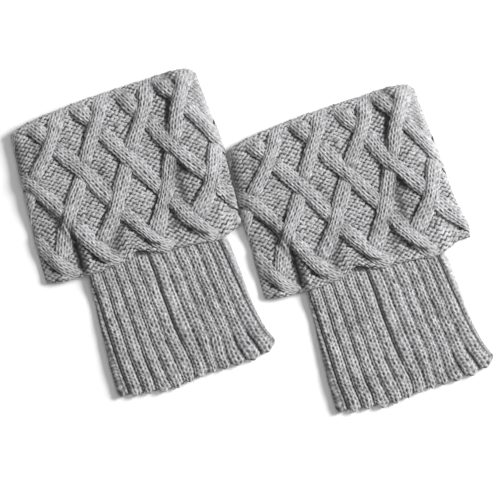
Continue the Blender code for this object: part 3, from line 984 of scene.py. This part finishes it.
# %% Sizes of the sleeve
SLEEVE_WALL = 0.0022
SLEEVE_HEIGHT = 0.0054
SLEEVE_LIFT = CUFF_WALL + LAYER_GAP + 0.0001
SLEEVE_BOTTOM = -0.0960
SLEEVE_HEM = (  # x, y of the front's lower edge
    (-0.0520, -0.0927),
    (-0.0434, -0.0954),
    (-0.0260, -0.0977),
    (-0.0150, -0.0998),
    (-0.0029, -0.0985),
    (0.0145, -0.0965),
    (0.0434, -0.0963),
    (0.0579, -0.0946),
    (0.0651, -0.0920),
    (0.0710, -0.0884),
)
SLEEVE_BACK_SHORTER = 0.0012
HEM_WAVE_Y, SCALLOP_Y = 0.045, 0.008  # the hem's wave and its scallops are felt this far up
RIBS = 24
FIRST_GROOVE = 0.01442  # the share of the way round at which the first one lies
TWIST = ((-0.096, 0.0185), (-0.0845, 0.0166), (-0.0556, 0.0096), (-0.0266, 0.0), (0.106, 0.0))
RIB_RISE = 0.0024
RIB_RISE_UNDER_CUFF = 0.0004
RIB_COLUMNS = ("way", "column", "height", "shade", "column_on_the_right")
RIB_SECTION = (  # across a rib, from one groove to the next
    (0.00, 0.50, 0.00, 0.95, 0.42),
    (0.05, 0.66, 0.24, 0.50, 0.50),
    (0.12, 0.84, 0.42, 0.26, 0.61),
    (0.18, 1.00, 0.50, 0.28, 0.72),
    (0.31, 1.26, 0.82, 0.04, 0.94),
    (0.45, 1.50, 0.97, 0.00, 1.18),
    (0.60, 1.76, 1.03, 0.00, 1.45),
    (0.75, 2.00, 0.98, 0.00, 1.71),
    (0.87, 2.26, 0.76, 0.04, 1.92),
    (0.94, 2.42, 0.40, 0.38, 2.10),
    (1.00, 2.50, 0.00, 0.95, 2.42),
)
LOOSER_RIBS = (6, 10)  # from and to, on the right of the front
GROOVE_STRENGTH = (0.9, 1.0, 0.95, 0.75, 0.65, 1.0, 0.7, 0.65, 0.65, 0.75, 0.6, 0.6)  # in front
BACK_GROOVE_STRENGTH = 0.7
RIB_ROW = 0.00325
RIB_RELIEF = 0.0014
RIB_FIBRES = 10 / 12  # the ribbing is a little smoother
RIB_LOOK = {"gap": 0.60, "hole": 0.82, "edge": 0.86, "edge_width": 0.40}
FOLD_SHADE = 0.42  # on the rib that turns away round the left fold
PALER_RIB = {"middle": 11.6, "width": 0.6, "share": 0.6}  # less shade painted between the yarns near the right fold
FOLD_SHADE_AT = {"to_rib": 0.02, "fade": 0.15, "rise": 0.5}
RIB_WANDER = {"column": 0.07, "row": 0.35, "shade": 0.40}
RIB_PACE = {"column": (4, 1.1), "row": (2, 1)}  # of those waves, by rib and by row
HEM_SHADOW = {"x": -0.0060, "width": 0.0120, "below": 0.0036}  # painted shadow on the ribs just under the cuff's hem
RIB_SCALLOP = 0.0013
DEEP_GROOVES = (  # the groove's number, from and to which y, and how much deeper it is there, where it is also painted darker
    (5, -0.073, 0.012, 0.0020),
    (0, -0.120, -0.010, 0.0016),
    (4, -0.086, -0.058, 0.0011),
    (3, -0.094, -0.066, 0.0007),
    (1, -0.110, -0.070, 0.0006),
    (2, -0.110, -0.072, 0.0006),
    (8, -0.110, -0.083, 0.0010),
    (9, -0.110, -0.072, 0.0013),
    (10, -0.110, -0.070, 0.0016),
    (10, -0.026, -0.006, 0.0009),
    (11, -0.092, 0.010, 0.0013),
)
# dark: the width of the painted shade in a deep groove
DEEP_GROOVE_WIDTH = {"deep": 0.22, "dark": 0.17}
DEEP_GROOVE_FADE = 0.008
BLACK_AT = 0.0014  # extra depth from which the shade painted in a groove is full
GROOVE_DRIFT = (  # y, and how far each front groove lies off its even place there, in ribs
    (-0.096, 0.05, 0.06, -0.02, 0.08, 0.03, -0.12, -0.12, -0.30, -0.42, -0.28, -0.12, 0.0),
    (-0.087, 0.05, 0.05, 0.07, 0.04, 0.08, 0.12, 0.08, -0.14, -0.28, -0.25, -0.03, 0.0),
    (-0.078, 0.02, 0.02, 0.04, 0.03, 0.07, 0.14, 0.17, 0.06, -0.04, -0.18, -0.08, 0.0),
    (-0.065, 0.00, 0.00, 0.03, -0.03, 0.02, 0.06, 0.21, 0.21, 0.08, -0.03, -0.06, 0.0),
    (-0.050, 0.00, -0.01, 0.02, -0.02, 0.00, 0.04, 0.22, 0.23, 0.13, 0.05, -0.02, 0.0),
    (-0.030, 0.00, -0.02, 0.01, -0.01, 0.00, 0.06, 0.21, 0.24, 0.17, 0.08, 0.03, 0.0),
    (-0.010, 0.00, -0.02, 0.00, 0.00, 0.00, 0.10, 0.21, 0.23, 0.19, 0.11, 0.05, 0.0),
    (0.005, 0.00, 0.00, 0.00, 0.00, 0.00, 0.08, 0.14, 0.15, 0.13, 0.08, 0.03, 0.0),
)
MESH_FROM_RIB = -1.5  # the fine part of the mesh starts round the left fold
REST_Y = -0.024  # below this the sleeve rests on the floor
LIFTED_Y = -0.005  # above this it lies on the cuff's back
HIDDEN_Y = 0.005  # above this the cuff's front hides it
HIDES_OVER = 0.003
FLATTER = {"above": 0.003, "over": 0.012, "share": 0.65}  # the ribs, as they go under the cuff
HIDDEN_RELIEF = 0.2
SEAM_GAP = 0.0006
print(f"{RIBS} ribs round a sleeve, with stitches {1000 * RIB_ROW:.1f} mm long")


# %% Where the ribs lie
def share_round(rib, y):
    """The share of the way round the sleeve where this rib lies at this height up the leg."""
    drift = 0.0
    for groove in range(len(GROOVE_STRENGTH)):
        drift = drift + smooth_through(GROOVE_DRIFT, y, 1 + groove) * hump(rib - groove, 1.0)
    return (rib + drift) / RIBS + FIRST_GROOVE + smooth_through(TWIST, y)


def sleeve_point(rib, y, height):
    """Space coordinates of a place on the sleeve, counted in ribs round it, at this height."""
    left, right = sleeve_reach(y)
    x, z, angle = flat_tube(share_round(rib, y), left, right, SLEEVE_HEIGHT, 0.0)
    front = np.clip(np.sin(angle), 0, 1)
    x = x + height * np.cos(angle)
    z = z + height * np.sin(angle)
    hem = smooth_through(SLEEVE_HEM, x) + SLEEVE_BACK_SHORTER * (1 - front) - SLEEVE_BOTTOM
    low = ease(1 - (y - SLEEVE_BOTTOM) / HEM_WAVE_Y)
    edge = ease(1 - (y - SLEEVE_BOTTOM) / SCALLOP_Y)
    scallop = RIB_SCALLOP * np.cos(2 * math.pi * rib)
    lift = SLEEVE_LIFT * ease((y - REST_Y) / (LIFTED_Y - REST_Y))
    return np.stack([x, y + hem * low + scallop * edge - top_dip(x, y), z + lift], axis=-1)


# %% The height of the ribs
def rib_height(rib, y, seed):
    """Height of the ribs over the grooves' floor, and their painted shade: between the yarns, in the
    grooves, on each rib's left side and round the left fold.
    """
    way = rib % 1.0
    column, profile, shade, looser_column = (
        smooth_through(RIB_SECTION, way, RIB_COLUMNS.index(name)) for name in RIB_COLUMNS[1:]
    )
    looser = (rib >= LOOSER_RIBS[0]) & (rib < LOOSER_RIBS[1] + 1)
    column = np.where(looser, looser_column, column)
    groove = np.rint(rib).astype(int) % RIBS
    strengths = np.full(RIBS, BACK_GROOVE_STRENGTH)
    strengths[: len(GROOVE_STRENGTH)] = GROOVE_STRENGTH
    strength = strengths[groove]
    shown = ease((HIDDEN_Y - y) / HIDES_OVER)
    free = ease((LIFTED_Y + FLATTER["above"] - y) / FLATTER["over"])
    full = (1 - FLATTER["share"]) * shown + FLATTER["share"] * free
    rise = RIB_RISE_UNDER_CUFF + (RIB_RISE - RIB_RISE_UNDER_CUFF) * full
    row = y / RIB_ROW
    by_rib, by_row = RIB_PACE["column"]
    astray = RIB_WANDER["column"] * unevenness(by_rib * rib, by_row * row, seed + 3)
    by_rib, by_row = RIB_PACE["row"]
    course = row + RIB_WANDER["row"] * unevenness(by_rib * rib, by_row * row, seed)
    face = knit_face(column + astray + 2 * np.floor(rib), course, RIB_LOOK)
    height = rise * (1 - strength * (1 - profile)) + RIB_FIBRES * fibres_over(face, seed + 5)
    relief = RIB_RELIEF * (HIDDEN_RELIEF + (1 - HIDDEN_RELIEF) * shown)
    height = height + relief * (face - KNIT_MIDDLE)
    own_shade = (own_size(2 * (column + 2 * np.floor(rib)), 2 * course) - 1) / UNLIKE
    shade = shade * strength * (1 + RIB_WANDER["shade"] * own_shade)
    turned_away = ease((FOLD_SHADE_AT["to_rib"] - rib) / FOLD_SHADE_AT["fade"])
    turned_away = turned_away * ease((rib - MESH_FROM_RIB) / FOLD_SHADE_AT["rise"])
    shade = np.maximum(np.clip(shade, 0, 1), FOLD_SHADE * turned_away)
    paler_rib = PALER_RIB["share"] * hump(rib - PALER_RIB["middle"], PALER_RIB["width"])
    depth = 1 - (1 - (1 - face) * (1 - paler_rib)) * (1 - shade)
    for number, from_y, to_y, extra_depth in DEEP_GROOVES:
        here = ease((y - from_y) / DEEP_GROOVE_FADE) * ease((to_y - y) / DEEP_GROOVE_FADE)
        apart = (rib - number + 0.5) % RIBS - 0.5
        height = height - extra_depth * here * hump(apart, DEEP_GROOVE_WIDTH["deep"])
        darkest = min(extra_depth / BLACK_AT, 1)
        dark = darkest * here * hump(apart, DEEP_GROOVE_WIDTH["dark"])
        depth = np.maximum(depth, dark)
    return height, depth


# %% Knit the sleeve
RIB_STEPS = {"front": 25, "back": 5}
FINE_RIBS_MORE = 1.6  # than half of them, so that the fine mesh goes round both folds
PLAIN_STEPS, ROW_STEPS = 12, 6
PRESSED_RIBS = {"at_folds": 0.6, "dents_under": 0.0004}  # dents are all that is left underneath
HEM_ROLL = {"over": 0.0015, "by": 0.0010}


def sleeve_cloth(name, place, seed):
    """The sleeve's wall as one closed mesh, at its place in the pair."""
    fine_to = RIBS / 2 + FINE_RIBS_MORE
    rib = MESH_FROM_RIB + finer_steps((0, fine_to, RIBS), tuple(RIB_STEPS.values()))
    top = SEAM_Y - SEAM_GAP
    hidden = np.linspace(top, HIDDEN_Y, PLAIN_STEPS, endpoint=False)
    steps = round(ROW_STEPS * (HIDDEN_Y - SLEEVE_BOTTOM) / RIB_ROW)
    outer = np.concatenate([hidden, np.linspace(HIDDEN_Y, SLEEVE_BOTTOM, steps)])
    inner = np.linspace(SLEEVE_BOTTOM, top, PLAIN_STEPS)
    y = np.concatenate([outer, inner])[:, None]
    height, depth = rib_height(rib[None, :], y, seed)
    left, right = sleeve_reach(y)
    x, _, angle = flat_tube(share_round(rib, y), left, right, SLEEVE_HEIGHT, 0.0)
    # painted shadow on the front ribs just under the cuff's hem
    under_hem = HEM_Y + smooth_through(FRONT_HEM, x) - y
    gap = hump(x - HEM_SHADOW["x"], HEM_SHADOW["width"]) * ease(1 - under_hem / HEM_SHADOW["below"])
    depth = np.maximum(depth, gap * (np.sin(angle) > 0))
    free = ease(1 + np.sin(angle))
    least = PRESSED_RIBS["at_folds"]
    height = height * (least + (1 - least) * np.clip(np.sin(angle), 0, 1)) * free
    height = height - PRESSED_RIBS["dents_under"] * depth * (1 - free)
    rounding = np.clip(1 - (y - SLEEVE_BOTTOM) / HEM_ROLL["over"], 0, 1)
    height = height - HEM_ROLL["by"] * np.square(rounding)
    inside = np.arange(len(y)) >= len(outer)
    height[inside] = -SLEEVE_WALL
    depth = np.where(inside[:, None], INSIDE_GAP_SHADE, depth)
    points = sleeve_point(rib[None, :], y, height) + np.array([*place, 0.0])
    chart = (np.append(rib, RIBS + MESH_FROM_RIB) * 2, np.append(y[:, 0], top) / RIB_ROW)
    return wrapped_grid(name, points, depth, chart)


# %% [markdown]
# ## The yarn
#
# The yarn is a pale grey blend: soft, matt and slightly hairy, with lighter and darker fibres
# twisted together. The base colour mixes flecks at the scale of the fibres with slow patches.
# Shade is painted into it between the yarns, where little light gets in and out again, and in
# the puckers, slits, folds and grooves that the pieces mark. Sheen gives the haze of loose
# fibres, and a fine bump their roughness.

# %% Start the yarn's material
grey_yarn = bpy.data.materials.new("grey_yarn")
grey_yarn.use_nodes = True
nodes, links = grey_yarn.node_tree.nodes, grey_yarn.node_tree.links
yarn_shader = nodes["Principled BSDF"]
yarn_shader.inputs["Roughness"].default_value = 0.92
yarn_shader.inputs["Specular IOR Level"].default_value = 0.25
yarn_shader.inputs["Sheen Weight"].default_value = 0.25
yarn_shader.inputs["Sheen Roughness"].default_value = 0.5


def add_node(kind, values, **settings):
    """A new node of this kind in the yarn's material, with these values on its inputs."""
    node = nodes.new(kind)
    for name, value in settings.items():
        setattr(node, name, value)
    for name, value in values.items():
        node.inputs[name].default_value = value
    return node


# %% Twist light and dark fibres together
YARN_LIGHT = (0.62, 0.62, 0.63, 1.0)
YARN_DARK = (0.16, 0.16, 0.163, 1.0)
FLECKS_PER_METRE = 700
PATCHES_PER_METRE = 60
STREAKS_PER_STITCH = (5.0, 0.8, 1.0)

on_cloth = add_node("ShaderNodeTexCoord", {})
patches = add_node("ShaderNodeTexNoise", {"Scale": PATCHES_PER_METRE})
flecks = add_node("ShaderNodeTexNoise", {"Scale": FLECKS_PER_METRE, "Detail": 3.0})
for noise in (patches, flecks):
    links.new(on_cloth.outputs["Object"], noise.inputs["Vector"])
chart = add_node("ShaderNodeUVMap", {}, uv_map="chart")
stretch = add_node("ShaderNodeMapping", {"Scale": STREAKS_PER_STITCH})
streaks = add_node("ShaderNodeTexNoise", {"Scale": 1.0, "Detail": 2.0})
links.new(chart.outputs["UV"], stretch.inputs["Vector"])
links.new(stretch.outputs["Vector"], streaks.inputs["Vector"])

marl = add_node("ShaderNodeMix", {"A": YARN_DARK, "B": YARN_LIGHT}, data_type="RGBA")
blend = None
for noise, low, high, share in (
    (patches, 0.25, 0.75, 0.30),
    (flecks, 0.36, 0.64, 0.38),
    (streaks, 0.34, 0.66, 0.50),
):
    contrast = add_node("ShaderNodeMapRange", {"From Min": low, "From Max": high, "To Max": share})
    links.new(noise.outputs["Fac"], contrast.inputs["Value"])
    if blend is None:
        blend = contrast.outputs["Result"]
        continue
    add = add_node("ShaderNodeMath", {})
    links.new(blend, add.inputs[0])
    links.new(contrast.outputs["Result"], add.inputs[1])
    blend = add.outputs["Value"]
links.new(blend, marl.inputs["Factor"])

# %% Paint shade into the gaps and roughen the fibres
# painted shade: the dark colour the yarn turns to between the yarns and in marked hollows
PAINTED_GAP_SHADE = (0.03, 0.03, 0.031, 1.0)
GAP_SHADE_FADE = {"From Min": 0.30, "From Max": 1.0, "To Max": 0.92}
FIBRES_PER_METRE = 3200

# the depth attribute says how much shade is painted at each place
painted_shade_attribute = add_node("ShaderNodeAttribute", {}, attribute_name="depth")
gap = add_node("ShaderNodeMapRange", GAP_SHADE_FADE, interpolation_type="SMOOTHSTEP")
gap_shade_mix = add_node("ShaderNodeMix", {"B": PAINTED_GAP_SHADE}, data_type="RGBA")
links.new(painted_shade_attribute.outputs["Fac"], gap.inputs["Value"])
links.new(gap.outputs["Result"], gap_shade_mix.inputs["Factor"])
links.new(marl.outputs["Result"], gap_shade_mix.inputs["A"])
links.new(gap_shade_mix.outputs["Result"], yarn_shader.inputs["Base Color"])

fibres = add_node("ShaderNodeTexNoise", {"Scale": FIBRES_PER_METRE})
bump = add_node("ShaderNodeBump", {"Strength": 0.6, "Distance": 0.0003})
links.new(on_cloth.outputs["Object"], fibres.inputs["Vector"])
links.new(fibres.outputs["Fac"], bump.inputs["Height"])
links.new(bump.outputs["Normal"], yarn_shader.inputs["Normal"])
print(f"yarn: {len(nodes)} nodes")

# %% [markdown]
# ## Lay out the pair
#
# The two leg warmers are knitted alike. Each is moved to its place in the mesh itself, so
# that every object stays at the origin. Each visible piece takes the place of its solid.

# %% Make all pieces
LEFT_AT = (-0.07485, 0.01765)
RIGHT_AT = (0.07365, -0.03905)


def piece(mesh):
    """An object at the origin for a finished mesh, riding on the one body."""
    mesh.materials.append(grey_yarn)
    thing = bpy.data.objects.new(mesh.name, mesh)
    bpy.context.scene.collection.objects.link(thing)
    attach(thing, "root")
    triangles = sum(len(face.vertices) - 2 for face in mesh.polygons)
    print(f"{thing.name}: {triangles} triangles")
    return thing


for side, place, right, seed in (
    ("left", LEFT_AT, "right_tucked", 11),
    ("right", RIGHT_AT, "right", 53),
):
    sleeve = piece(sleeve_cloth(f"{side}_ribbing", place, seed))
    ground = piece(cuff_ground(f"{side}_cuff_ground", place, right, seed + 100))
    cables = piece(cuff_cables(f"{side}_cables", place, right, seed))
    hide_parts(f"{side}_sleeve")
    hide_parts(f"{side}_cuff")
